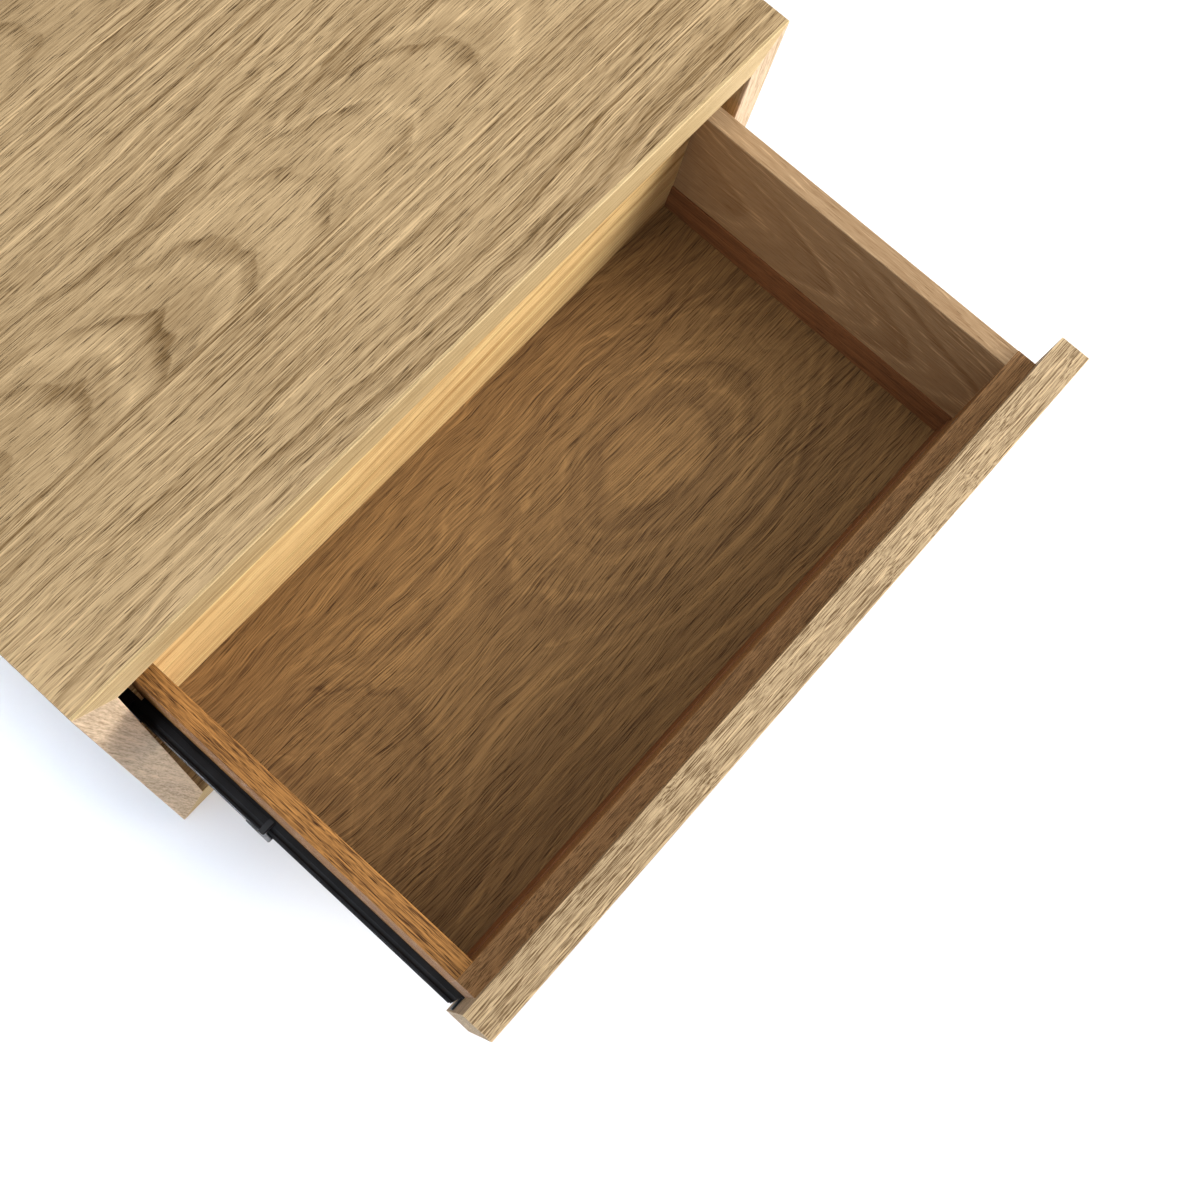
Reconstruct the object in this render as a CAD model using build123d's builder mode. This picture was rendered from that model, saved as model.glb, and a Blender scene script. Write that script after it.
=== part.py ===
from build123d import *
import os

# A low oak cabinet with one inset drawer above an open compartment.
# Millimetres. The origin is the centre of the underside, +X is to the right
# of someone facing the cabinet, -Y points out of its front and +Z is up.
# The drawer is modelled fully open, on side-mounted ball-bearing runners.

# Carcass: four mitred boards with a lipping on the front edge of each
WIDTH = 550.0
DEPTH = 320.0
HEIGHT = 360.0
BOARD = 24.0
LIPPING = 2.0
ARRIS = 0.4
BACK_THICKNESS = 6.0
REBATE = 10.0
REBATE_PLAY = 0.5
SPLINE_WIDTH = 16.0
SPLINE_THICKNESS = 4.0
SPLINE_SETBACK = 11.0
SPLINE_FROM_ENDS = 30.0
SPLINE_LENGTH = DEPTH - 2 * SPLINE_FROM_ENDS
SPLINE_PLAY = 0.1

# Drawer box, of half-inch stock
TRAVEL = 250.0
FRONT_THICKNESS = 19.0
FRONT_HEIGHT = 165.0
FRONT_GAP = 2.0
STOCK = 12.7
RUNNER_THICKNESS = 12.7
BOX_DEPTH = 256.0
BOX_HEIGHT = 112.0
BOX_BELOW_TOP = 43.5
BOTTOM_THICKNESS = 6.0
BOTTOM_RECESS = 17.5
BOTTOM_PLAY = 0.1
SLIP_LEDGE = 8.0
SLIP_LIP = 2.5
SLIP_ABOVE_BOTTOM = 19.0
SLIP_BEVEL_ACROSS = 1.5
SLIP_BEVEL_DOWN = 14.0

# Three-part runners. Each cross-section is drawn with u across the runner,
# from the carcass (0) to the drawer box (12.7), and v up from its centre line.
RUNNER_BELOW_TOP = 136.0
RUNNER_LENGTH = 250.0
RUNNER_END_PLAY = 0.8
MIDDLE_LENGTH = 217.0
MIDDLE_SETBACK = 23.0
OUTER_CAGE_SETBACK = 2.0
INNER_CAGE_SETBACK = 4.0
CABINET_WEB = (0.0, 1.0)
CABINET_FLANGE_U = 7.4
CABINET_FLANGE_V = (21.0, 22.4)
OUTER_CAGE_WEB = (1.3, 1.9)
OUTER_CAGE_U = 6.9
OUTER_BALL_UV = (4.8, 19.6)
MIDDLE_WEB = (2.2, 3.2)
MIDDLE_FLANGE_U = 10.2
MIDDLE_FLANGE_V = (16.8, 18.2)
INNER_CAGE_WEB = (3.6, 4.2)
INNER_CAGE_U = 9.8
INNER_BALL_UV = (7.6, 15.4)
DRAWER_WEB = (11.5, 12.7)
DRAWER_FLANGE_U = 4.8
DRAWER_FLANGE_V = (12.6, 14.0)
DRAWER_FLANGE_CUT_BACK = (1.5, 3.8)
TAB_U = (3.2, 12.7)
TAB_V = (-9.0, 9.0)
TAB_THICKNESS = 1.2
CAGE_SHEET = 0.8
CAGE_LENGTH = 90.0
BALL_RADIUS = 1.7
RACE_RADIUS = 2.0
BALLS_PER_ROW = 6
BALL_PITCH = 14.0
WEB_HOLE_RADIUS = 2.4
WEB_HOLE_STEPS = (48.0, 80.0, 178.0)
ACCESS_HOLE_RADIUS = 5.0
ACCESS_HOLE_STEPS = (30.0, 110.0, 190.0)

# Plastic parts of the runners
CAP_LENGTH = 4.0
CAP_U = (1.4, 11.0)
CAP_V = (-19.4, 19.4)
CAP_HOLLOW_U = (4.4, 11.0)
CAP_HOLLOW_V = (-15.6, 15.6)
CAP_CHAMFER = 0.8
FIN_U = (1.2, 1.7)
FIN_V = (-8.0, 8.0)
FIN_Y = (1.0, 15.0)
BUMPER_U = (1.0, 4.2)
BUMPER_V = (-10.0, 10.0)
BUMPER_LENGTH = 8.0
BUMPER_ROUND = 2.0
LEVER_U = (9.0, 11.5)
LEVER_V = (-3.5, 3.5)
LEVER_LENGTH = 40.0
LEVER_AHEAD = 12.0
LEVER_THUMB_U = (7.0, 9.0)
LEVER_THUMB_V = (-6.0, 3.5)
LEVER_THUMB_LENGTH = 9.0
LEVER_ROUND = 1.0

# Screws and dowels
DOWEL_RADIUS = 3.0
DOWEL_LENGTH = 28.0
DOWEL_IN_FACE = 9.0
SCREW_RADIUS = 1.75
SCREW_HEAD_RADIUS = 3.3
COUNTERSINK_ANGLE = 45.0
PAN_HEAD = 1.8
PAN_ANGLE = 12.0
CABINET_SCREW_LENGTH = 14.0
DRAWER_SCREW_LENGTH = 10.0
FRONT_SCREW_LENGTH = 26.0
BACK_SCREW_LENGTH = 18.0
BOTTOM_SCREW_LENGTH = 20.0
BACK_SCREW_FROM_END = 48.0
CABINET_SCREW_STEPS = (20.0, 125.0, 225.0)
DRAWER_SCREW_STEPS = (20.0, 150.0, 230.0)
FRONT_SCREW_INSET = 40.0
FRONT_SCREW_ABOVE_FLOOR = (32.0, 76.0)
BOTTOM_SCREW_INSET = 45.0
DOWELS_ABOVE_FLOOR = (16.0, 42.0, 70.0)

# Derived planes and sizes
FRONT_Y = -DEPTH / 2
BACK_Y = DEPTH / 2
INNER_X = WIDTH / 2 - BOARD
BACK_INNER_Y = BACK_Y - BACK_THICKNESS
FACE_Y = FRONT_Y - TRAVEL
BOX_FRONT_Y = FACE_Y + FRONT_THICKNESS
BOX_INNER_FRONT_Y = BOX_FRONT_Y + STOCK
BOX_BACK_Y = BOX_FRONT_Y + BOX_DEPTH
BOX_INNER_BACK_Y = BOX_BACK_Y - STOCK
BOX_X = INNER_X - RUNNER_THICKNESS
BOX_INNER_X = BOX_X - STOCK
BOX_TOP_Z = HEIGHT - BOX_BELOW_TOP
BOX_BASE_Z = BOX_TOP_Z - BOX_HEIGHT
BOTTOM_Z = BOX_BASE_Z + BOTTOM_RECESS
FLOOR_Z = BOTTOM_Z + BOTTOM_THICKNESS
FRONT_WIDTH = 2 * INNER_X - 2 * FRONT_GAP
FRONT_TOP_Z = HEIGHT - BOARD - FRONT_GAP
FRONT_BASE_Z = FRONT_TOP_Z - FRONT_HEIGHT
RUNNER_Z = HEIGHT - RUNNER_BELOW_TOP
CABINET_MEMBER_Y = BOX_FRONT_Y + TRAVEL
MIDDLE_MEMBER_Y = CABINET_MEMBER_Y + MIDDLE_SETBACK - TRAVEL / 2
OUTER_CAGE_Y = CABINET_MEMBER_Y + OUTER_CAGE_SETBACK
INNER_CAGE_Y = MIDDLE_MEMBER_Y + INNER_CAGE_SETBACK

os.makedirs("parts", exist_ok=True)


def save(piece, name):
    piece.part.label = name
    export_step(piece.part, f"parts/{name}.step")


def block(low, high, mode=Mode.ADD):
    """Add or cut an upright block given by its lowest and highest corners."""
    sizes = [b - a for a, b in zip(low, high)]
    centre = [(a + b) / 2 for a, b in zip(low, high)]
    with Locations(tuple(centre)):
        Box(*sizes, mode=mode)


def rods(points, radius, length, towards, mode=Mode.ADD):
    """Add or cut rods that start at the points and run along a direction."""
    for point in points:
        with BuildSketch(Plane(origin=point, z_dir=towards)) as section:
            Circle(radius)
        extrude(section.sketch, amount=length, mode=mode)


def screws(points, length, towards, countersunk=True):
    """Screws whose heads end at the points' plane, pointing along a direction."""
    rods(points, SCREW_RADIUS, length, towards)
    back = Vector(*towards) * -1
    for point in points:
        if countersunk:
            with BuildSketch(Plane(origin=point, z_dir=towards)) as head:
                Circle(SCREW_HEAD_RADIUS)
            depth = SCREW_HEAD_RADIUS - SCREW_RADIUS
            extrude(head.sketch, amount=depth, taper=COUNTERSINK_ANGLE)
        else:
            with BuildSketch(Plane(origin=point, z_dir=back)) as head:
                Circle(SCREW_HEAD_RADIUS)
            extrude(head.sketch, amount=PAN_HEAD, taper=PAN_ANGLE)


def countersinks(points, towards):
    """Cut the cones that countersunk heads sit in."""
    for point in points:
        with BuildSketch(Plane(origin=point, z_dir=towards)) as cone:
            Circle(SCREW_HEAD_RADIUS)
        depth = SCREW_HEAD_RADIUS - SCREW_RADIUS
        extrude(cone.sketch, amount=depth, taper=COUNTERSINK_ANGLE, mode=Mode.SUBTRACT)


# ---------------------------------------------------------------- carcass

CORNERS = {
    "top_left": (-1, 1),
    "top_right": (1, 1),
    "bottom_left": (-1, -1),
    "bottom_right": (1, -1),
}


def outer_corner(sx, sz, inset=0.0):
    return (sx * (WIDTH / 2 - inset), HEIGHT / 2 + sz * (HEIGHT / 2 - inset))


def inner_corner(sx, sz):
    return (sx * INNER_X, HEIGHT / 2 + sz * (HEIGHT / 2 - BOARD))


def board_outline(first, second):
    """Outline of one board, mitred at the two corners it joins and eased outside them."""
    step_x = ARRIS * (second[0] - first[0]) / 2
    step_z = ARRIS * (second[1] - first[1]) / 2
    first_x, first_z = outer_corner(*first)
    second_x, second_z = outer_corner(*second)
    return [
        inner_corner(*first),
        outer_corner(*first, inset=ARRIS / 2),
        (first_x + step_x, first_z + step_z),
        (second_x - step_x, second_z - step_z),
        outer_corner(*second, inset=ARRIS / 2),
        inner_corner(*second),
    ]


BOARDS = {
    "top": board_outline(CORNERS["top_left"], CORNERS["top_right"]),
    "bottom": board_outline(CORNERS["bottom_left"], CORNERS["bottom_right"]),
    "left": board_outline(CORNERS["top_left"], CORNERS["bottom_left"]),
    "right": board_outline(CORNERS["top_right"], CORNERS["bottom_right"]),
}


def spline(sx, sz, play=0.0, mode=Mode.ADD):
    """Loose tongue across one mitre, nearer the inside of the corner."""
    inner_x, inner_z = inner_corner(sx, sz)
    step = SPLINE_SETBACK / 2**0.5
    with Locations((inner_x + sx * step, 0, inner_z + sz * step)):
        Box(
            SPLINE_WIDTH + play,
            SPLINE_LENGTH + play,
            SPLINE_THICKNESS + play,
            rotation=(0, sx * sz * 45, 0),
            mode=mode,
        )


def back_screw_points():
    across = INNER_X + REBATE / 2
    edges = (BOARD - REBATE / 2, HEIGHT - BOARD + REBATE / 2)
    heights = (BACK_SCREW_FROM_END, HEIGHT / 2, HEIGHT - BACK_SCREW_FROM_END)
    beside = [(sx * across, BACK_Y, z) for sx in (-1, 1) for z in heights]
    above_and_below = [(sx * INNER_X / 2, BACK_Y, z) for sx in (-1, 0, 1) for z in edges]
    return beside + above_and_below


def cabinet_screw_points(sign):
    x = sign * (INNER_X - CABINET_WEB[1])
    return [(x, CABINET_MEMBER_Y + step, RUNNER_Z) for step in CABINET_SCREW_STEPS]


def open_back_rebate():
    reach_x = INNER_X + REBATE
    reach_z = REBATE - BOARD
    block(
        (-reach_x, BACK_INNER_Y, -reach_z),
        (reach_x, BACK_Y, HEIGHT + reach_z),
        mode=Mode.SUBTRACT,
    )


for edge, outline in BOARDS.items():
    with BuildPart() as panel:
        with BuildSketch(Plane.XZ.offset(FRONT_Y)):
            with BuildLine():
                Polyline(*outline, close=True)
            make_face()
        extrude(amount=DEPTH - LIPPING)
        open_back_rebate()
        for corner in CORNERS.values():
            spline(*corner, play=SPLINE_PLAY, mode=Mode.SUBTRACT)
        rods(back_screw_points(), SCREW_RADIUS, BACK_SCREW_LENGTH, (0, -1, 0), mode=Mode.SUBTRACT)
        for sign in (-1, 1):
            pilots = cabinet_screw_points(sign)
            rods(pilots, SCREW_RADIUS, CABINET_SCREW_LENGTH, (sign, 0, 0), mode=Mode.SUBTRACT)
            countersinks(pilots, (sign, 0, 0))
    save(panel, f"{edge}_panel")

    with BuildPart() as lipping:
        with BuildSketch(Plane.XZ.offset(-FRONT_Y - LIPPING)):
            with BuildLine():
                Polyline(*outline, close=True)
            make_face()
        extrude(amount=LIPPING)
        front_face = lipping.faces().sort_by(Axis.Y)[0]
        long_edges = front_face.edges().sort_by(SortBy.LENGTH)[-2:]
        chamfer(long_edges, ARRIS)
    save(lipping, f"{edge}_lipping")

for corner_name, corner in CORNERS.items():
    with BuildPart() as mitre_spline:
        spline(*corner)
    save(mitre_spline, f"{corner_name}_spline")

with BuildPart() as back_panel:
    half_width = INNER_X + REBATE - REBATE_PLAY
    half_height = HEIGHT / 2 - BOARD + REBATE - REBATE_PLAY
    block(
        (-half_width, BACK_INNER_Y, HEIGHT / 2 - half_height),
        (half_width, BACK_Y, HEIGHT / 2 + half_height),
    )
    rods(back_screw_points(), SCREW_RADIUS, BACK_THICKNESS, (0, -1, 0), mode=Mode.SUBTRACT)
    countersinks(back_screw_points(), (0, -1, 0))
save(back_panel, "back_panel")

with BuildPart() as back_screws:
    screws(back_screw_points(), BACK_SCREW_LENGTH, (0, -1, 0))
save(back_screws, "back_screws")

# ------------------------------------------------------------- drawer box


def front_screw_points():
    x = BOX_INNER_X - FRONT_SCREW_INSET
    y = BOX_INNER_FRONT_Y
    return [(sx * x, y, FLOOR_Z + above) for sx in (-1, 1) for above in FRONT_SCREW_ABOVE_FLOOR]


def front_dowel_points():
    x = BOX_X - STOCK / 2
    y = BOX_INNER_FRONT_Y - DOWEL_IN_FACE
    return [(sx * x, y, FLOOR_Z + above) for sx in (-1, 1) for above in DOWELS_ABOVE_FLOOR]


def back_dowel_points(sign):
    x = sign * (BOX_INNER_X + DOWEL_IN_FACE)
    y = BOX_BACK_Y - STOCK / 2
    return [(x, y, FLOOR_Z + above) for above in DOWELS_ABOVE_FLOOR]


def bottom_screw_points():
    across = BOX_INNER_X - BOTTOM_SCREW_INSET
    y = BOX_BACK_Y - STOCK / 2
    return [(x, y, BOTTOM_Z) for x in (-across, -across / 3, across / 3, across)]


def drawer_screw_points(sign):
    x = sign * (INNER_X - DRAWER_WEB[0])
    return [(x, BOX_FRONT_Y + step, RUNNER_Z) for step in DRAWER_SCREW_STEPS]


def drawer_screw_pilots(sign):
    inwards = (-sign, 0, 0)
    points = drawer_screw_points(sign)
    rods(points, SCREW_RADIUS, DRAWER_SCREW_LENGTH, inwards, mode=Mode.SUBTRACT)


with BuildPart() as drawer_front:
    block(
        (-FRONT_WIDTH / 2, FACE_Y, FRONT_BASE_Z),
        (FRONT_WIDTH / 2, BOX_FRONT_Y, FRONT_TOP_Z),
    )
    chamfer(drawer_front.faces().sort_by(Axis.Y)[0].edges(), ARRIS)
    rods(front_screw_points(), SCREW_RADIUS, FRONT_SCREW_LENGTH, (0, -1, 0), mode=Mode.SUBTRACT)
save(drawer_front, "drawer_front")

with BuildPart() as sub_front:
    block((-BOX_X, BOX_FRONT_Y, BOX_BASE_Z), (BOX_X, BOX_INNER_FRONT_Y, BOX_TOP_Z))
    top_face = sub_front.faces().sort_by(Axis.Z)[-1]
    chamfer(top_face.edges().sort_by(Axis.Y)[-1], ARRIS)
    rods(front_screw_points(), SCREW_RADIUS, STOCK, (0, -1, 0), mode=Mode.SUBTRACT)
    countersinks(front_screw_points(), (0, -1, 0))
    rods(front_dowel_points(), DOWEL_RADIUS, DOWEL_LENGTH, (0, 1, 0), mode=Mode.SUBTRACT)
save(sub_front, "sub_front")

for side, sign in (("left", -1), ("right", 1)):
    with BuildPart() as drawer_side:
        inner, outer = sorted((sign * BOX_INNER_X, sign * BOX_X))
        block((inner, BOX_INNER_FRONT_Y, BOX_BASE_Z), (outer, BOX_BACK_Y, BOX_TOP_Z))
        top_face = drawer_side.faces().sort_by(Axis.Z)[-1]
        chamfer(top_face.edges().filter_by(Axis.Y), ARRIS)
        rods(front_dowel_points(), DOWEL_RADIUS, DOWEL_LENGTH, (0, 1, 0), mode=Mode.SUBTRACT)
        back_dowels_at = back_dowel_points(sign)
        rods(back_dowels_at, DOWEL_RADIUS, DOWEL_LENGTH, (-sign, 0, 0), mode=Mode.SUBTRACT)
        drawer_screw_pilots(sign)
    save(drawer_side, f"{side}_drawer_side")

with BuildPart() as drawer_back:
    block((-BOX_INNER_X, BOX_INNER_BACK_Y, FLOOR_Z), (BOX_INNER_X, BOX_BACK_Y, BOX_TOP_Z))
    top_face = drawer_back.faces().sort_by(Axis.Z)[-1]
    chamfer(top_face.edges().filter_by(Axis.X), ARRIS)
    for sign in (-1, 1):
        back_dowels_at = back_dowel_points(sign)
        rods(back_dowels_at, DOWEL_RADIUS, DOWEL_LENGTH, (-sign, 0, 0), mode=Mode.SUBTRACT)
    rods(bottom_screw_points(), SCREW_RADIUS, BOTTOM_SCREW_LENGTH, (0, 0, 1), mode=Mode.SUBTRACT)
save(drawer_back, "drawer_back")

BOTTOM_X = BOX_INNER_X - SLIP_LIP
BOTTOM_FRONT_Y = BOX_INNER_FRONT_Y + SLIP_LIP
SLIP_TOP_Z = FLOOR_Z + SLIP_ABOVE_BOTTOM

with BuildPart() as drawer_bottom:
    block(
        (-BOTTOM_X + BOTTOM_PLAY, BOTTOM_FRONT_Y + BOTTOM_PLAY, BOTTOM_Z),
        (BOTTOM_X - BOTTOM_PLAY, BOX_BACK_Y, FLOOR_Z),
    )
    rods(bottom_screw_points(), SCREW_RADIUS, BOTTOM_THICKNESS, (0, 0, 1), mode=Mode.SUBTRACT)
save(drawer_bottom, "drawer_bottom")


def bevel_slip(slip, inside_edge):
    top_face = slip.faces().sort_by(Axis.Z)[-1]
    chamfer(inside_edge(top_face), SLIP_BEVEL_ACROSS, SLIP_BEVEL_DOWN, reference=top_face)


# Slips: strips along the foot of the box, a ledge that carries the bottom and a thin bevelled lip above it
for side, sign in (("left", -1), ("right", 1)):
    with BuildPart() as slip:
        inner, outer = sorted((sign * (BOX_INNER_X - SLIP_LEDGE), sign * BOX_INNER_X))
        block((inner, BOX_INNER_FRONT_Y, BOX_BASE_Z), (outer, BOX_INNER_BACK_Y, BOTTOM_Z))
        inner, outer = sorted((sign * BOTTOM_X, sign * BOX_INNER_X))
        block((inner, BOX_INNER_FRONT_Y, BOTTOM_Z), (outer, BOX_INNER_BACK_Y, SLIP_TOP_Z))
        innermost = 0 if sign > 0 else -1
        bevel_slip(slip, lambda face: face.edges().filter_by(Axis.Y).sort_by(Axis.X)[innermost])
    save(slip, f"{side}_slip")

with BuildPart() as front_slip:
    half_width = BOX_INNER_X - SLIP_LEDGE
    ledge_y = BOX_INNER_FRONT_Y + SLIP_LEDGE
    block((-half_width, BOX_INNER_FRONT_Y, BOX_BASE_Z), (half_width, ledge_y, BOTTOM_Z))
    block((-BOTTOM_X, BOX_INNER_FRONT_Y, BOTTOM_Z), (BOTTOM_X, BOTTOM_FRONT_Y, SLIP_TOP_Z))
    bevel_slip(front_slip, lambda face: face.edges().filter_by(Axis.X).sort_by(Axis.Y)[-1])
save(front_slip, "front_slip")

with BuildPart() as front_screws:
    screws(front_screw_points(), FRONT_SCREW_LENGTH, (0, -1, 0))
save(front_screws, "front_screws")

with BuildPart() as front_dowels:
    rods(front_dowel_points(), DOWEL_RADIUS, DOWEL_LENGTH, (0, 1, 0))
save(front_dowels, "front_dowels")

with BuildPart() as back_dowels:
    for sign in (-1, 1):
        rods(back_dowel_points(sign), DOWEL_RADIUS, DOWEL_LENGTH, (-sign, 0, 0))
save(back_dowels, "back_dowels")

with BuildPart() as bottom_screws:
    screws(bottom_screw_points(), BOTTOM_SCREW_LENGTH, (0, 0, 1), countersunk=False)
save(bottom_screws, "bottom_screws")

# ---------------------------------------------------------------- runners


def channel_section(web, flange_end, flange_v):
    """A C-section: its web, and a flange above and below the centre line."""
    depth = abs(flange_end - web[0])
    facing = 1 if flange_end > web[0] else -1
    with Locations(((web[0] + web[1]) / 2, 0)):
        Rectangle(web[1] - web[0], 2 * flange_v[1])
    for row in (-1, 1):
        with Locations((web[0] + facing * depth / 2, row * (flange_v[0] + flange_v[1]) / 2)):
            Rectangle(depth, flange_v[1] - flange_v[0])


def cut_races(ball_uv):
    with Locations((ball_uv[0], ball_uv[1]), (ball_uv[0], -ball_uv[1])):
        Circle(RACE_RADIUS, mode=Mode.SUBTRACT)


def runner_plane(sign, y):
    """Section plane of a runner at one end, u pointing away from the carcass."""
    return Plane(origin=(sign * INNER_X, y, RUNNER_Z), x_dir=(-sign, 0, 0), z_dir=(0, sign, 0))


def runner_block(sign, u_range, y_range, v_range, mode=Mode.ADD):
    xs = sorted(sign * (INNER_X - u) for u in u_range)
    block(
        (xs[0], y_range[0], RUNNER_Z + v_range[0]),
        (xs[1], y_range[1], RUNNER_Z + v_range[1]),
        mode=mode,
    )


def web_holes(sign, web, front_y, steps, radius):
    """Cut holes through a member's web along its centre line."""
    x = sign * (INNER_X - web[0])
    points = [(x, front_y + step, RUNNER_Z) for step in steps]
    rods(points, radius, web[1] - web[0], (-sign, 0, 0), mode=Mode.SUBTRACT)


def ball_points(sign, ball_uv, cage_y):
    row_length = (BALLS_PER_ROW - 1) * BALL_PITCH
    first = cage_y + (CAGE_LENGTH - row_length) / 2
    x = sign * (INNER_X - ball_uv[0])
    return [
        (x, first + step * BALL_PITCH, RUNNER_Z + row * ball_uv[1])
        for row in (-1, 1)
        for step in range(BALLS_PER_ROW)
    ]


def slant_flange_ends(sign):
    """Cut the drawer member's flanges back at the front, further at their edges than at the web."""
    at_web = (sign * (INNER_X - DRAWER_WEB[0]), BOX_FRONT_Y + DRAWER_FLANGE_CUT_BACK[0])
    at_edge = (sign * (INNER_X - DRAWER_FLANGE_U), BOX_FRONT_Y + DRAWER_FLANGE_CUT_BACK[1])
    with BuildSketch(Plane.XY.offset(RUNNER_Z - DRAWER_FLANGE_V[1])) as cut:
        with BuildLine():
            Polyline(at_web, at_edge, (at_edge[0], BOX_FRONT_Y), (at_web[0], BOX_FRONT_Y), close=True)
        make_face()
    extrude(cut.sketch, amount=2 * DRAWER_FLANGE_V[1], mode=Mode.SUBTRACT)


for side, sign in (("left", -1), ("right", 1)):
    # extrusions run from each member's front end towards the back
    with BuildPart() as cabinet_member:
        with BuildSketch(runner_plane(sign, CABINET_MEMBER_Y + RUNNER_END_PLAY)):
            channel_section(CABINET_WEB, CABINET_FLANGE_U, CABINET_FLANGE_V)
            cut_races(OUTER_BALL_UV)
        extrude(amount=sign * (RUNNER_LENGTH - RUNNER_END_PLAY))
        countersinks(cabinet_screw_points(sign), (sign, 0, 0))
        web_holes(sign, CABINET_WEB, CABINET_MEMBER_Y, WEB_HOLE_STEPS, WEB_HOLE_RADIUS)
    save(cabinet_member, f"{side}_cabinet_member")

    with BuildPart() as middle_member:
        with BuildSketch(runner_plane(sign, MIDDLE_MEMBER_Y)):
            channel_section(MIDDLE_WEB, MIDDLE_FLANGE_U, MIDDLE_FLANGE_V)
            cut_races(OUTER_BALL_UV)
            cut_races(INNER_BALL_UV)
        extrude(amount=sign * MIDDLE_LENGTH)
        web_holes(sign, MIDDLE_WEB, MIDDLE_MEMBER_Y, ACCESS_HOLE_STEPS, ACCESS_HOLE_RADIUS)
    save(middle_member, f"{side}_middle_member")

    with BuildPart() as drawer_member:
        with BuildSketch(runner_plane(sign, BOX_FRONT_Y)):
            channel_section(DRAWER_WEB[::-1], DRAWER_FLANGE_U, DRAWER_FLANGE_V)
            cut_races(INNER_BALL_UV)
        extrude(amount=sign * RUNNER_LENGTH)
        slant_flange_ends(sign)
        runner_block(sign, TAB_U, (BOX_FRONT_Y, BOX_FRONT_Y + TAB_THICKNESS), TAB_V)
        drawer_screw_pilots(sign)
        web_holes(sign, DRAWER_WEB, BOX_FRONT_Y, WEB_HOLE_STEPS, WEB_HOLE_RADIUS)
    save(drawer_member, f"{side}_drawer_member")

    cages = (
        ("outer", OUTER_CAGE_WEB, OUTER_CAGE_U, OUTER_BALL_UV, OUTER_CAGE_Y),
        ("inner", INNER_CAGE_WEB, INNER_CAGE_U, INNER_BALL_UV, INNER_CAGE_Y),
    )
    for ring, web, flange_end, ball_uv, cage_y in cages:
        flange_v = (ball_uv[1] - CAGE_SHEET / 2, ball_uv[1] + CAGE_SHEET / 2)
        points = ball_points(sign, ball_uv, cage_y)
        with BuildPart() as cage:
            with BuildSketch(runner_plane(sign, cage_y)):
                channel_section(web, flange_end, flange_v)
            extrude(amount=sign * CAGE_LENGTH)
            with Locations(*points):
                Cylinder(BALL_RADIUS, 2 * CAGE_SHEET, mode=Mode.SUBTRACT)
        save(cage, f"{side}_{ring}_cage")

        with BuildPart() as balls:
            with Locations(*points):
                Sphere(BALL_RADIUS)
        save(balls, f"{side}_{ring}_balls")

    with BuildPart() as middle_cap:
        cap_front = MIDDLE_MEMBER_Y - CAP_LENGTH
        cap_y = (cap_front, MIDDLE_MEMBER_Y)
        runner_block(sign, CAP_U, cap_y, CAP_V)
        runner_block(sign, CAP_HOLLOW_U, cap_y, CAP_HOLLOW_V, mode=Mode.SUBTRACT)
        chamfer(middle_cap.faces().sort_by(Axis.Y)[0].edges(), CAP_CHAMFER)
        runner_block(sign, FIN_U, (cap_front + FIN_Y[0], cap_front + FIN_Y[1]), FIN_V)
    save(middle_cap, f"{side}_middle_cap")

    with BuildPart() as rear_bumper:
        runner_end = CABINET_MEMBER_Y + RUNNER_LENGTH
        runner_block(sign, BUMPER_U, (runner_end - BUMPER_LENGTH, runner_end), BUMPER_V)
        fillet(rear_bumper.edges().filter_by(Axis.X), BUMPER_ROUND)
    save(rear_bumper, f"{side}_rear_bumper")

    with BuildPart() as release_lever:
        lever_end = MIDDLE_MEMBER_Y - LEVER_AHEAD
        lever_front = lever_end - LEVER_LENGTH
        thumb_y = (lever_front, lever_front + LEVER_THUMB_LENGTH)
        runner_block(sign, LEVER_U, (lever_front, lever_end), LEVER_V)
        runner_block(sign, LEVER_THUMB_U, thumb_y, LEVER_THUMB_V)
        fillet(release_lever.edges().filter_by(Axis.X), LEVER_ROUND)
    save(release_lever, f"{side}_release_lever")

    with BuildPart() as cabinet_screws:
        screws(cabinet_screw_points(sign), CABINET_SCREW_LENGTH, (sign, 0, 0))
    save(cabinet_screws, f"{side}_cabinet_screws")

    with BuildPart() as drawer_screws:
        points = drawer_screw_points(sign)
        screws(points, DRAWER_SCREW_LENGTH, (-sign, 0, 0), countersunk=False)
    save(drawer_screws, f"{side}_drawer_screws")
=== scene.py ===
import math
from collections import namedtuple

import bpy
from mathutils import Euler, Matrix, Vector

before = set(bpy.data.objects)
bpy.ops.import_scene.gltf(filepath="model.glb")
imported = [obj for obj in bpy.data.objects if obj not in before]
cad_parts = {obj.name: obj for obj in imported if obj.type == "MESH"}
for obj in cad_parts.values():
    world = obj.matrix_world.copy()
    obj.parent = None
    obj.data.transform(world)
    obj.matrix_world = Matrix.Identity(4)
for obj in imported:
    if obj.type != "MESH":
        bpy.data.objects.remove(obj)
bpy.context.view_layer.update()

# A low oak cabinet with its one drawer fully open. Everything is in metres, in the CAD frame: +X is to the
# right of someone facing the cabinet, -Y points out of its front and +Z is up.

SCENE = bpy.context.scene


# ------------------------------------------------------------------ camera

CAMERA_AT = Vector((-0.2666, -0.3547, 0.9707))
CAMERA_TURN = (12.446, -3.450, -47.623)  # degrees about X, Y and Z
SENSOR = 36.0
LENS = 38.67
SHIFT_X = 0.115
SHIFT_Y = 0.0888
NEAREST = 0.01


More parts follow.
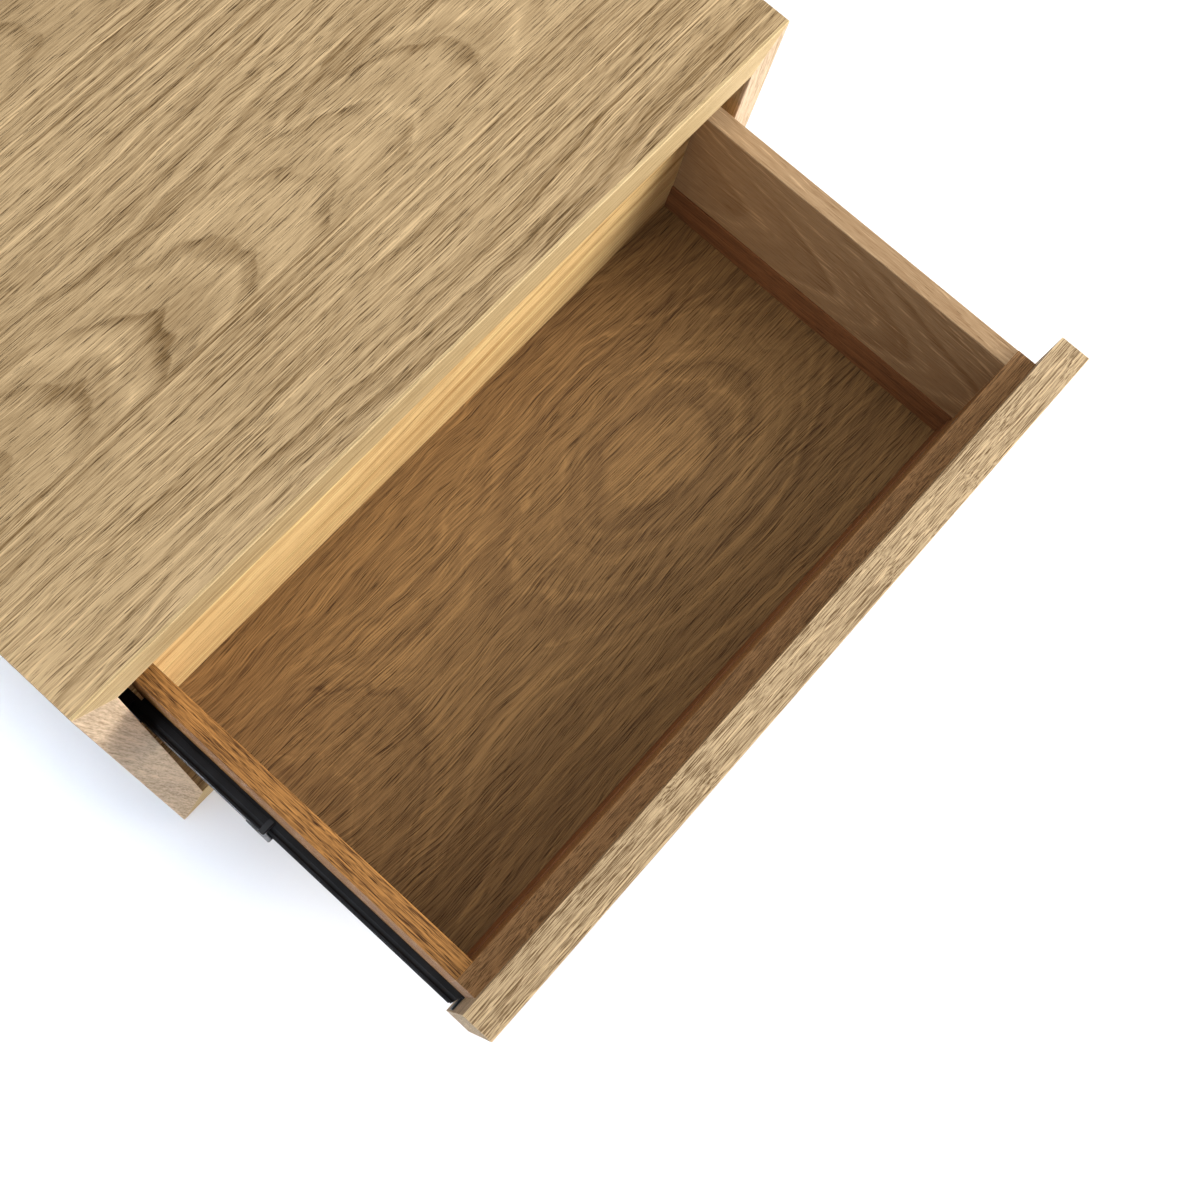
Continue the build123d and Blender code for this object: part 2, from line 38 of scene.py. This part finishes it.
def add_camera():
    data = bpy.data.cameras.new("camera")
    data.sensor_width = SENSOR
    data.lens = LENS
    data.shift_x = SHIFT_X
    data.shift_y = SHIFT_Y
    data.clip_start = NEAREST
    camera = bpy.data.objects.new("camera", data)
    turn = Euler([math.radians(angle) for angle in CAMERA_TURN])
    camera.matrix_world = Matrix.LocRotScale(CAMERA_AT, turn, None)
    SCENE.collection.objects.link(camera)
    SCENE.camera = camera


# ------------------------------------------------------------------- nodes

# Cosine between the true and the rounded normal: where a pale edge starts, and where it is full. On metal
# and plastic the pale edge is wear; on the oak it is wear and a painted highlight along the arrises.
WEAR_AND_HIGHLIGHT_STARTS = 0.995
WEAR_AND_HIGHLIGHT_FULL = 0.85
EDGE_SAMPLES = 4
OFFSET_TURN = (1.0, 1.7, 0.6)  # the way in which an offset moves a noise


def opaque(red, green, blue):
    """Scene-linear colour from scene-linear channels."""
    return (red, green, blue, 1.0)


def scaled(colour, factor):
    """The colour made brighter or darker, no brighter than white."""
    return opaque(*(min(1.0, factor * channel) for channel in colour[:3]))


def rgb(red, green, blue):
    """Scene-linear colour from 0-255 display values."""
    channels = []
    for value in (red, green, blue):
        share = value / 255
        channels.append(share / 12.92 if share <= 0.04045 else ((share + 0.055) / 1.055) ** 2.4)
    return opaque(*channels)


class Graph:
    """Short calls for building one material's nodes."""

    def __init__(self, name):
        self.material = bpy.data.materials.new(name)
        self.material.use_nodes = True
        self.tree = self.material.node_tree
        self.tree.nodes.clear()
        output = self.add("ShaderNodeOutputMaterial")
        self.shader = self.add("ShaderNodeBsdfPrincipled")
        self.tree.links.new(self.shader.outputs[0], output.inputs[0])

    def add(self, kind, inputs=None, **settings):
        node = self.tree.nodes.new(kind)
        for key, value in settings.items():
            setattr(node, key, value)
        for key, value in (inputs or {}).items():
            self.feed(node.inputs[key], value)
        return node

    def feed(self, socket, value):
        """Links the socket to another node's output, or sets it to a constant."""
        if isinstance(value, bpy.types.NodeSocket):
            self.tree.links.new(value, socket)
        else:
            socket.default_value = value

    def set(self, **inputs):
        """Feeds the shader's inputs, named as in base_color or specular_ior_level."""
        for key, value in inputs.items():
            self.feed(self.shader.inputs[key.replace("_", " ").title().replace("Ior", "IOR")], value)

    def math(self, operation, a, b=0.0, c=0.0):
        return self.add("ShaderNodeMath", {0: a, 1: b, 2: c}, operation=operation).outputs[0]

    def total(self, start, *parts):
        """start plus every part, each given with its weight."""
        for value, weight in parts:
            start = self.math("MULTIPLY_ADD", value, weight, start)
        return start

    def product(self, first, *factors):
        for factor in factors:
            first = self.math("MULTIPLY", first, factor)
        return first

    def place(self, order="XYZ"):
        """Object coordinates, re-ordered so that the grain comes first."""
        coordinates = self.add("ShaderNodeTexCoord").outputs["Object"]
        axes = self.add("ShaderNodeSeparateXYZ", {0: coordinates}).outputs
        return [axes["XYZ".index(letter)] for letter in order]

    def vector(self, x, y, z):
        return self.add("ShaderNodeCombineXYZ", {0: x, 1: y, 2: z}).outputs[0]

    def stretched(self, vector, scale, offset=0.0):
        shift = tuple(offset * share for share in OFFSET_TURN)
        node = self.add("ShaderNodeVectorMath", {0: vector, 1: scale, 2: shift}, operation="MULTIPLY_ADD")
        return node.outputs[0]

    def noise(self, vector, detail=2.0, roughness=0.5):
        inputs = {"Vector": vector, "Scale": 1.0, "Detail": detail, "Roughness": roughness}
        return self.add("ShaderNodeTexNoise", inputs).outputs[0]

    def swing(self, vector, scale, offset, detail, roughness=0.5):
        """Noise that swings evenly to either side of zero."""
        noise = self.noise(self.stretched(vector, scale, offset), detail, roughness)
        return self.math("SUBTRACT", noise, 0.5)

    def step(self, value, low, high, start=0.0, end=1.0):
        """Smooth ramp from start, where the value is low, to end, where it is high."""
        inputs = {0: value, 1: low, 2: high, 3: start, 4: end}
        return self.add("ShaderNodeMapRange", inputs, interpolation_type="SMOOTHSTEP").outputs[0]

    def mix(self, factor, first, second):
        inputs = {0: factor, 6: first, 7: second}
        return self.add("ShaderNodeMix", inputs, data_type="RGBA", blend_type="MIX").outputs[2]

    def edges(self, radius):
        """1 along the edges of the mesh, 0 on its flats."""
        rounded = self.add("ShaderNodeBevel", {0: radius}, samples=EDGE_SAMPLES).outputs[0]
        normal = self.add("ShaderNodeNewGeometry").outputs["Normal"]
        alike = self.add("ShaderNodeVectorMath", {0: rounded, 1: normal}, operation="DOT_PRODUCT")
        return self.step(alike.outputs["Value"], WEAR_AND_HIGHLIGHT_STARTS, WEAR_AND_HIGHLIGHT_FULL)

    def bump(self, height, distance, strength=1.0):
        inputs = {"Height": height, "Distance": distance, "Strength": strength}
        self.feed(self.shader.inputs["Normal"], self.add("ShaderNodeBump", inputs).outputs[0])


# --------------------------------------------------------------------- oak

# Slow and quick waves in the grain: how often they come (per metre, along and across the board), how far
# they push the fibres sideways and how far they swell the growth rings (metres).
SLOW_WAVES = (4.0, 14.0, 14.0)
SLOW_SWAY = 0.016
SLOW_SWELL = 0.004
QUICK_WAVES = (26.0, 75.0, 75.0)
QUICK_SWAY = 0.0024
QUICK_SWELL = 0.0022
QUICK_OFFSET = 5.0
INWARD = 0.7  # how much of the way into the board also leads through the rings

# Layers of noise in the wood. along and across count waves per metre, or for the last three multiply the
# texture's pitch. shade is how much the layer darkens the wood. An offset keeps the layers apart.
Layer = namedtuple("Layer", "along across detail offset shade")
BANDS = Layer(1.4, 150.0, detail=2.0, offset=17.0, shade=1.0)
LINES = Layer(3.0, 520.0, detail=2.0, offset=39.0, shade=1.2)
CLOUD = Layer(5.0, 26.0, detail=2.0, offset=13.0, shade=0.7)
THREADS = Layer(0.35, 0.9, detail=1.0, offset=51.0, shade=1.1)
FIBRES = Layer(1.0, 1.5, detail=2.0, offset=21.0, shade=1.8)
SPECKS = Layer(3.0, 2.1, detail=1.0, offset=33.0, shade=1.3)
LAYER_ROUGHNESS = 0.55

# What staves with arches lose of their bands, lines and fibres.
ARCHED_BANDS = -0.6
ARCHED_LINES = -0.4
ARCHED_FIBRES = -0.35

# Dark wood of the growth rings. Threads and fibres fray its outline (metres), and cloud thins it out. It is
# darkest near the end of a ring and ends there, both as shares of the ring.
THREAD_FRAY = 0.0007
FIBRE_FRAY = 0.0005
RING_DARKEST = 0.95
RING_ENDS = 0.97
FAINT_AT = -0.14
FULL_AT = 0.1
FAINTEST = 0.25
RING_STRENGTH = 0.6
RING_SHADE = 0.6

MIDDLE_SHADE = 0.32  # between the light tone, 0, and the dark one, 1

# Pores, painted glint spots and pale edges, which lie over that shade. The pale edges are wear and a
# painted highlight along the arrises.
PORE_STARTS = 0.16
PORE_FULL = 0.36
PORE_IN_RINGS = 0.1
PORE_TONE = 0.8
PORE_ROUGHNESS = 0.2
# Painted highlight: a brighter copy of the light tone, and where and how strongly painted glint spots show
# on the grain.
HIGHLIGHT_GAIN = 1.35
PAINTED_GLINT_STARTS = -0.13
PAINTED_GLINT_FULL = -0.32
PAINTED_GLINT_TONE = 0.75
WEAR_AND_HIGHLIGHT_EDGE = 0.0009

# How the surface shines, and how high its fibres stand (metres).
FIBRE_SWING = 0.3  # the fibres' noise takes the roughness to its limits this far from zero
OILED = 0.25  # specular level
FIBRE_HEIGHT = 0.6
RING_HEIGHT = -0.2
GRAIN_DEPTH = 0.0004

STAVE_SHIFT = 2.3  # how far apart in the log neighbouring staves come from
STAVE_TONE = 0.12
STAVE_SCATTER = (12.9, 43.7)  # turn a stave's number into its own share of that tone
SAME = 0.1  # two whole numbers closer than this are the same


class Figure:
    """How a board was cut: where its growth rings lie. Lengths in metres.

    heart is the middle of the log across the board and depth how far it lies behind the face. cone lets
    the rings run out along the board, which gives arches. eyes (size, spacing, place) makes that depth rise
    and fall along the board, which gives closed loops. staves (width, seam) glues the board up from strips,
    each cut differently. ring is the width of a growth ring, and late the share of it where its dark wood
    starts. slope lets the grain run off to one side.
    """

    def __init__(
        self, heart=0.5, depth=0.1, cone=0.0, eyes=(0.0, 1.0, 0.0), staves=None,
        ring=0.005, slope=0.0, late=0.5,
    ):
        self.heart = heart
        self.depth = depth
        self.cone = cone
        self.eyes = eyes
        self.staves = staves
        self.ring = ring
        self.slope = slope
        self.late = late


class Texture:
    """How strongly each layer of the grain shows.

    wave scales the waves in the grain, ripple the height of the threads, painted_glints the painted glint
    spots and wear_and_highlight the pale edges, which are wear and a painted highlight along the arrises.
    pitch counts the fibres per metre along and across the board. roughness runs from its lowest to its
    highest.
    """

    def __init__(
        self, bands=1.0, lines=1.0, fibres=1.0, rings=1.0, pores=1.0, painted_glints=1.0, wave=1.0, ripple=0.0,
        pitch=(32.0, 1450.0), roughness=(0.6, 0.78), wear_and_highlight=0.35,
    ):
        self.bands = bands
        self.lines = lines
        self.fibres = fibres
        self.rings = rings
        self.pores = pores
        self.painted_glints = painted_glints
        self.wave = wave
        self.ripple = ripple
        self.pitch = pitch
        self.roughness = roughness
        self.wear_and_highlight = wear_and_highlight


ARCHES = Figure(heart=-0.007, depth=0.15, cone=0.069)
LOOPS = Figure(heart=-0.045, depth=0.13, eyes=(0.003, 0.4, 0.03))
RIFT = Figure(heart=0.4, depth=0.1)
STAVE_CUTS = (ARCHES, LOOPS, RIFT)  # the cuts of neighbouring staves, in turn


def ring_radius(g, figure, along, across):
    """Distance from the middle of the log, which is what the growth rings follow."""
    size, spacing, place = figure.eyes
    turn = 2 * math.pi / spacing
    swing = g.math("COSINE", g.total(-turn * place, (along, turn)))
    depth = g.total(figure.depth, (swing, -size))
    sideways = g.math("SUBTRACT", across, figure.heart)
    squares = g.total(g.product(depth, depth), (sideways, sideways))
    return g.total(g.math("SQRT", squares), (along, figure.cone))


def staved_radius(g, figure, along, across):
    """Ring radius of a board glued up from staves: arches, long loops and straight grain in turn.

    Also gives the place along the log, the stave's number and whether it is one with arches.
    """
    width, seam = figure.staves
    place = g.math("DIVIDE", g.math("SUBTRACT", across, seam), width)
    number = g.math("FLOOR", place)
    kind = g.math("FLOORED_MODULO", number, len(STAVE_CUTS))
    local = g.product(g.math("SUBTRACT", g.math("FRACT", place), 0.5), width)
    in_log = g.total(along, (number, STAVE_SHIFT))
    radius = 0.0
    for index, cut in enumerate(STAVE_CUTS):
        chosen = g.math("COMPARE", kind, index, SAME)
        radius = g.total(radius, (ring_radius(g, cut, in_log, local), chosen))
    return radius, in_log, number, g.math("COMPARE", kind, STAVE_CUTS.index(ARCHES), SAME)


def late_wood(g, figure, texture, radius, threads, fibres, cloud):
    """The dark outer part of every growth ring, which ends sharply."""
    frayed = g.total(radius, (fibres, FIBRE_FRAY), (threads, THREAD_FRAY))
    phase = g.math("FRACT", g.math("DIVIDE", frayed, figure.ring))
    return g.product(
        g.step(phase, figure.late, RING_DARKEST),
        g.step(phase, 1.0, RING_ENDS),
        g.step(cloud, FAINT_AT, FULL_AT, FAINTEST, 1.0),
        RING_STRENGTH * texture.rings,
    )


def oak(name, grain, tones, figure, texture, seed):
    """Oiled oak. The first letter of grain is the way the fibres run, the second lies across the board."""
    light, dark, pore = tones
    # A brighter copy of the light tone: the painted highlight for the glint spots and the pale edges.
    bright = scaled(light, HIGHLIGHT_GAIN)
    g = Graph(name)
    along, across, depth = g.place(grain)
    body = g.vector(along, across, depth)
    slow = g.swing(body, SLOW_WAVES, seed, detail=1.0)
    quick = g.swing(body, QUICK_WAVES, seed + QUICK_OFFSET, detail=1.0)
    waved = g.total(
        across, (slow, SLOW_SWAY * texture.wave), (along, figure.slope), (quick, QUICK_SWAY * texture.wave)
    )
    if figure.staves:
        radius, in_log, number, arched = staved_radius(g, figure, along, across)
    else:
        radius, in_log, number, arched = ring_radius(g, figure, along, waved), along, 0.0, 0.0
    swell = (slow, SLOW_SWELL * texture.wave), (quick, QUICK_SWELL * texture.wave)
    radius = g.total(radius, *swell, (depth, INWARD))
    in_fibres = g.vector(in_log, waved, depth)
    in_rings = g.vector(in_log, radius, 0.0)

    def layered(source, layer, pitch=(1.0, 1.0)):
        across_scale = layer.across * pitch[1]
        scale = (layer.along * pitch[0], across_scale, across_scale)
        return g.swing(source, scale, seed + layer.offset, layer.detail, LAYER_ROUGHNESS)

    bands = g.product(layered(in_rings, BANDS), g.total(1.0, (arched, ARCHED_BANDS)))
    lines = g.product(layered(in_rings, LINES), g.total(1.0, (arched, ARCHED_LINES)))
    cloud = layered(in_fibres, CLOUD)
    threads = layered(in_fibres, THREADS, texture.pitch)
    fibres = layered(in_fibres, FIBRES, texture.pitch)
    specks = layered(in_fibres, SPECKS, texture.pitch)
    ringed = late_wood(g, figure, texture, radius, threads, fibres, cloud)

    strands = g.total(0.0, (fibres, FIBRES.shade), (threads, THREADS.shade), (specks, SPECKS.shade))
    shade = g.total(
        MIDDLE_SHADE,
        (bands, BANDS.shade * texture.bands),
        (lines, LINES.shade * texture.lines),
        (strands, g.total(texture.fibres, (arched, ARCHED_FIBRES * texture.fibres))),
        (ringed, RING_SHADE),
        (cloud, CLOUD.shade * texture.bands),
    )
    shade = g.math("MINIMUM", g.math("MAXIMUM", shade, 0.0), 1.0)
    colour = g.mix(shade, light, dark)

    crowded = g.total(fibres, (ringed, PORE_IN_RINGS), (specks, 1.0))
    pores = g.product(g.step(crowded, PORE_STARTS, PORE_FULL), texture.pores)
    colour = g.mix(g.product(pores, PORE_TONE), colour, pore)
    # Painted glint spots: the wood takes the highlight tone where lines and threads dip, as if light caught
    # the grain.
    painted_glint_mask = g.step(g.math("ADD", lines, threads), PAINTED_GLINT_STARTS, PAINTED_GLINT_FULL)
    colour = g.mix(g.product(painted_glint_mask, PAINTED_GLINT_TONE * texture.painted_glints), colour, bright)
    # Pale edges: wear, and a painted highlight along the arrises.
    colour = g.mix(g.product(g.edges(WEAR_AND_HIGHLIGHT_EDGE), texture.wear_and_highlight), colour, bright)
    if figure.staves:
        turned, spread = STAVE_SCATTER
        chance = g.math("FRACT", g.product(g.math("SINE", g.product(number, turned)), spread))
        colour = g.mix(g.product(chance, STAVE_TONE), colour, dark)

    rough = g.step(fibres, -FIBRE_SWING, FIBRE_SWING, *texture.roughness)
    rough = g.total(rough, (pores, PORE_ROUGHNESS))
    g.set(base_color=colour, roughness=rough, specular_ior_level=OILED)
    raised = g.total(0.0, (ringed, RING_HEIGHT), (fibres, FIBRE_HEIGHT), (threads, texture.ripple))
    g.bump(g.math("SUBTRACT", raised, pores), GRAIN_DEPTH)
    return g.material


# ------------------------------------------------------- metal and plastic

# How often each noise comes, per metre, and what keeps two of them apart.
BRUSHED = (40.0, 1800.0, 1800.0)
STAINED = (60.0, 60.0, 60.0)
STAINED_OFFSET = 4.0
GRAINY = (2400.0, 2400.0, 2400.0)
MOTTLED = (90.0, 90.0, 90.0)
MOTTLED_OFFSET = 7.0
# Where each noise starts to show, and where it shows fully.
ROUGHNESS_RAMP = (0.2, 0.8)
STAIN_RAMP = (0.3, 0.7)
MOTTLE_RAMP = (0.35, 0.75)
MOTTLE_STRENGTH = 0.5
RUBBED_EDGE = 0.0004
RUBBED_STEEL = opaque(0.4, 0.4, 0.42)
RUBBED_PLASTIC = opaque(0.12, 0.12, 0.13)
PLASTIC_WEAR = 0.3
STAIN_TONE = 0.6
MOTTLE_TONE = 2.2
SCRATCH_ROUGHNESS = 0.3
SCRATCH_DEPTH = 0.00004
GRAIN_RELIEF = 0.00005
SOFT_BUMP = 0.5
PLASTIC_SHINE = 0.35


def steel(name, base, metallic, roughness, scratch=0.5, wear_by=0.25, specular=0.5):
    g = Graph(name)
    body = g.vector(*g.place("YXZ"))
    brushed = g.noise(g.stretched(body, BRUSHED), detail=3.0, roughness=0.6)
    cloudy = g.noise(g.stretched(body, STAINED, STAINED_OFFSET), detail=3.0)
    colour = g.mix(g.step(cloudy, *STAIN_RAMP), base, scaled(base, STAIN_TONE))
    colour = g.mix(g.product(g.edges(RUBBED_EDGE), wear_by), colour, RUBBED_STEEL)
    rough = g.step(cloudy, *ROUGHNESS_RAMP, *roughness)
    rough = g.total(rough, (brushed, scratch * SCRATCH_ROUGHNESS))
    g.set(base_color=colour, roughness=rough, metallic=metallic, specular_ior_level=specular)
    g.bump(brushed, SCRATCH_DEPTH, SOFT_BUMP)
    return g.material


def plastic(name, base, roughness):
    g = Graph(name)
    body = g.vector(*g.place())
    grainy = g.noise(g.stretched(body, GRAINY), detail=2.0)
    cloudy = g.noise(g.stretched(body, MOTTLED, MOTTLED_OFFSET), detail=3.0)
    mottled = g.step(cloudy, *MOTTLE_RAMP, 0.0, MOTTLE_STRENGTH)
    colour = g.mix(mottled, base, scaled(base, MOTTLE_TONE))
    colour = g.mix(g.product(g.edges(RUBBED_EDGE), PLASTIC_WEAR), colour, RUBBED_PLASTIC)
    rough = g.step(cloudy, *ROUGHNESS_RAMP, *roughness)
    g.set(base_color=colour, roughness=rough, specular_ior_level=PLASTIC_SHINE)
    g.bump(grainy, GRAIN_RELIEF, SOFT_BUMP)
    return g.material


# --------------------------------------------------------------- materials

# Each wood's light tone, dark tone and pores.
OAK = (rgb(203, 174, 131), rgb(120, 92, 54), rgb(88, 62, 32))
PALE_OAK = (rgb(206, 180, 134), rgb(168, 138, 92), rgb(128, 98, 60))
GREY_OAK = (rgb(220, 194, 162), rgb(166, 139, 109), rgb(112, 86, 60))
FRONT_OAK = (rgb(197, 170, 131), rgb(108, 81, 48), rgb(84, 60, 32))
# The sub-front's tones are darker and browner than the box's oak: painted shade cast by the drawer front
# above it.
SHADED_BROWN_OAK = (rgb(172, 128, 82), rgb(110, 78, 46), rgb(74, 48, 28))
ORANGE_OAK = (rgb(178, 124, 64), rgb(80, 48, 20), rgb(62, 36, 14))
TAN_OAK = (rgb(178, 147, 110), rgb(136, 102, 66), rgb(92, 64, 36))
# The drawer back's tones are lighter than its oak: painted light on the back's inner face.
LIT_HONEY_OAK = (rgb(244, 208, 146), rgb(190, 146, 88), rgb(130, 96, 50))
# The drawer floor's tones are darker and warmer than its oak: painted shade inside the drawer.
SHADED_FLOOR_OAK = (rgb(147, 112, 68), rgb(82, 55, 29), rgb(56, 35, 16))
# The slips' dark red tones are partly their own wood and partly painted shade along the foot of the
# drawer's walls.
RED_SHADED_OAK = (rgb(146, 98, 60), rgb(110, 70, 40), rgb(72, 42, 22))
BEECH = (rgb(214, 180, 140), rgb(190, 150, 108), rgb(160, 118, 78))

STAVES = (0.058, -0.0657)  # width of a strip of the boards, and where one seam lies
BOARD = Figure(staves=STAVES, ring=0.004, late=0.62)
STRAIGHT = Figure(heart=0.6, ring=0.0046)
PLAIN = Texture()
RIPPLED = Texture(
    bands=0.3, lines=0.35, fibres=2.3, rings=0.15, pores=0.0, wave=1.3, ripple=1.0,
    pitch=(42.0, 2000.0), wear_and_highlight=0.6,
)
SIDE_GRAIN = Texture(fibres=1.5, pitch=(45.0, 1300.0), wear_and_highlight=0.8)
SLIP_GRAIN = Texture(pores=0.5, painted_glints=0.4)

WOODS = {  # the grain's directions, tones, figure, texture and seed
    "oak_top": ("XYZ", OAK, BOARD, PLAIN, 3.0),
    "oak_bottom_board": ("XYZ", OAK, BOARD, PLAIN, 41.0),
    "oak_left_board": ("ZYX", OAK, BOARD, PLAIN, 57.0),
    "oak_right_board": ("ZYX", OAK, BOARD, PLAIN, 73.0),
    "lip_flat": (
        "XZY", PALE_OAK, STRAIGHT,
        Texture(fibres=0.9, pores=0.3, painted_glints=0.6, wear_and_highlight=0.95), 11.0,
    ),
    "lip_side": (
        "ZXY", GREY_OAK, Figure(heart=0.6, slope=0.12),
        Texture(bands=0.7, lines=0.5, rings=0.3, pores=0.0, painted_glints=0.3, pitch=(70.0, 600.0)), 19.0,
    ),
    "oak_drawer_front": ("XZY", FRONT_OAK, Figure(heart=0.25, depth=0.08, cone=0.07), RIPPLED, 29.0),
    "oak_sub_front": ("XZY", SHADED_BROWN_OAK, STRAIGHT, RIPPLED, 37.0),
    "oak_left_side": ("YZX", ORANGE_OAK, STRAIGHT, SIDE_GRAIN, 47.0),
    "oak_right_side": (
        "YZX", TAN_OAK, Figure(heart=0.27, depth=0.06, cone=-0.1, ring=0.007),
        Texture(
            bands=0.6, lines=0.5, fibres=0.5, rings=0.7, pores=0.3, pitch=(40.0, 900.0), wear_and_highlight=0.8
        ), 53.0,
    ),
    "oak_back": (
        "XZY", LIT_HONEY_OAK, Figure(heart=0.15, depth=0.06, slope=-0.06, ring=0.014),
        Texture(rings=1.3, fibres=0.6, pores=0.5), 61.0,
    ),
    "oak_floor_painted_shade": (
        "XYZ", SHADED_FLOOR_OAK,
        Figure(heart=-0.256, depth=0.157, eyes=(0.0085, 0.36, 0.09), ring=0.0042, late=0.83),
        Texture(
            bands=0.5, lines=0.7, fibres=1.15, rings=0.36, pores=0.8, wave=1.9, pitch=(26.0, 1500.0)
        ), 67.0,
    ),
    "oak_slip": ("YXZ", RED_SHADED_OAK, STRAIGHT, SLIP_GRAIN, 79.0),
    "oak_front_slip": ("XYZ", RED_SHADED_OAK, STRAIGHT, SLIP_GRAIN, 83.0),
    "oak_back_panel": ("ZXY", OAK, Figure(heart=0.02, cone=0.07), PLAIN, 89.0),
    "beech": (
        "YXZ", BEECH, STRAIGHT, Texture(bands=0.5, rings=0.4, pores=0.4, painted_glints=0.3), 97.0,
    ),
}

METALS = {
    "zinc_screws": dict(base=opaque(0.62, 0.61, 0.58), metallic=1.0, roughness=(0.25, 0.42)),
    "black_steel": dict(
        base=opaque(0.006, 0.007, 0.010), metallic=0.0, roughness=(0.34, 0.5), wear_by=0.1, specular=0.3
    ),
    "black_screws": dict(base=opaque(0.02, 0.02, 0.022), metallic=0.6, roughness=(0.3, 0.45)),
    "cage_steel": dict(base=opaque(0.45, 0.44, 0.42), metallic=1.0, roughness=(0.3, 0.5)),
    "ball_steel": dict(
        base=opaque(0.72, 0.72, 0.74), metallic=1.0, roughness=(0.08, 0.18), scratch=0.1
    ),
}

MATERIALS = {name: oak(name, *cut) for name, cut in WOODS.items()}
MATERIALS.update({name: steel(name, **look) for name, look in METALS.items()})
MATERIALS["black_plastic"] = plastic("black_plastic", opaque(0.007, 0.008, 0.011), (0.3, 0.45))

SIDES = ("left", "right")

FINISHES = {
    "top_panel": "oak_top",
    "bottom_panel": "oak_bottom_board",
    "left_panel": "oak_left_board",
    "right_panel": "oak_right_board",
    "top_lipping": "lip_flat",
    "bottom_lipping": "lip_flat",
    "left_lipping": "lip_side",
    "right_lipping": "lip_side",
    "back_panel": "oak_back_panel",
    "back_screws": "zinc_screws",
    "drawer_front": "oak_drawer_front",
    "sub_front": "oak_sub_front",
    "left_drawer_side": "oak_left_side",
    "right_drawer_side": "oak_right_side",
    "drawer_back": "oak_back",
    "drawer_bottom": "oak_floor_painted_shade",
    "left_slip": "oak_slip",
    "right_slip": "oak_slip",
    "front_slip": "oak_front_slip",
    "front_screws": "zinc_screws",
    "bottom_screws": "zinc_screws",
    "front_dowels": "beech",
    "back_dowels": "beech",
}
for corner in ("top_left", "top_right", "bottom_left", "bottom_right"):
    FINISHES[f"{corner}_spline"] = "beech"
for side in SIDES:
    FINISHES.update({
        f"{side}_cabinet_member": "black_steel",
        f"{side}_middle_member": "black_steel",
        f"{side}_drawer_member": "black_steel",
        f"{side}_outer_cage": "cage_steel",
        f"{side}_inner_cage": "cage_steel",
        f"{side}_outer_balls": "ball_steel",
        f"{side}_inner_balls": "ball_steel",
        f"{side}_middle_cap": "black_plastic",
        f"{side}_rear_bumper": "black_plastic",
        f"{side}_release_lever": "black_plastic",
        f"{side}_cabinet_screws": "black_screws",
        f"{side}_drawer_screws": "black_screws",
    })


def finish_nodes():
    for node, material in FINISHES.items():
        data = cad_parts[node].data
        data.materials.clear()
        data.materials.append(MATERIALS[material])


# ----------------------------------------------------------- floor, lights

FLOOR_SIZE = 40.0
FLOOR_GAP = 0.0005  # keeps the floor clear of the cabinet's underside
FLOOR_CLOUDS = (1.5, 1.5, 1.5)
FLOOR_DULL = opaque(0.90, 0.91, 0.93)
FLOOR_CLEAR = opaque(0.92, 0.93, 0.95)

WARM = (1.0, 0.985, 0.955)
NEUTRAL = (0.97, 0.98, 1.0)
COOL = (0.86, 0.92, 1.0)
COLD = (0.75, 0.85, 1.0)
SKY = opaque(0.92, 0.95, 1.0)
SKY_STRENGTH = 0.36


def add_floor():
    g = Graph("floor_paper")
    body = g.vector(*g.place())
    cloudy = g.noise(g.stretched(body, FLOOR_CLOUDS), detail=2.0)
    g.set(base_color=g.mix(cloudy, FLOOR_DULL, FLOOR_CLEAR), roughness=0.9)
    half = FLOOR_SIZE / 2
    corners = [(-half, -half, 0), (half, -half, 0), (half, half, 0), (-half, half, 0)]
    data = bpy.data.meshes.new("floor")
    data.from_pydata(corners, [], [(0, 1, 2, 3)])
    data.materials.append(g.material)
    floor = bpy.data.objects.new("floor", data)
    SCENE.collection.objects.link(floor)
    floor.location.z = -FLOOR_GAP


def add_area(name, at, towards, size, power, colour, spread=180.0):
    data = bpy.data.lights.new(name, "AREA")
    data.shape = "RECTANGLE"
    data.size, data.size_y = size
    data.energy = power
    data.color = colour
    data.spread = math.radians(spread)
    lamp = bpy.data.objects.new(name, data)
    lamp.location = at
    lamp.rotation_euler = (Vector(towards) - Vector(at)).to_track_quat("-Z", "Y").to_euler()
    SCENE.collection.objects.link(lamp)


def add_lights():
    add_area(
        "key", at=(1.75, -1.95, 1.55), towards=(0.0, -0.2, 0.25), size=(2.0, 1.6), power=120.0, colour=WARM
    )
    add_area(
        "overhead", at=(0.2, 0.2, 2.6), towards=(0.0, -0.2, 0.2), size=(2.0, 2.0), power=16.0,
        colour=NEUTRAL,
    )
    add_area(
        "left_fill", at=(-2.4, -0.4, 0.9), towards=(0.0, -0.2, 0.2), size=(1.6, 1.4), power=14.0,
        colour=COOL,
    )
    add_area(
        "floor_fill", at=(-0.48, -0.3, 1.2), towards=(-0.48, -0.3, 0.0), size=(0.2, 1.2), power=2.1,
        colour=COLD, spread=23.0,
    )


def add_world():
    world = bpy.data.worlds.new("studio")
    world.use_nodes = True
    background = world.node_tree.nodes["Background"]
    background.inputs["Color"].default_value = SKY
    background.inputs["Strength"].default_value = SKY_STRENGTH
    SCENE.world = world
    SCENE.view_settings.view_transform = "Standard"
    SCENE.view_settings.look = "None"


add_camera()
add_floor()
add_lights()
add_world()
finish_nodes()
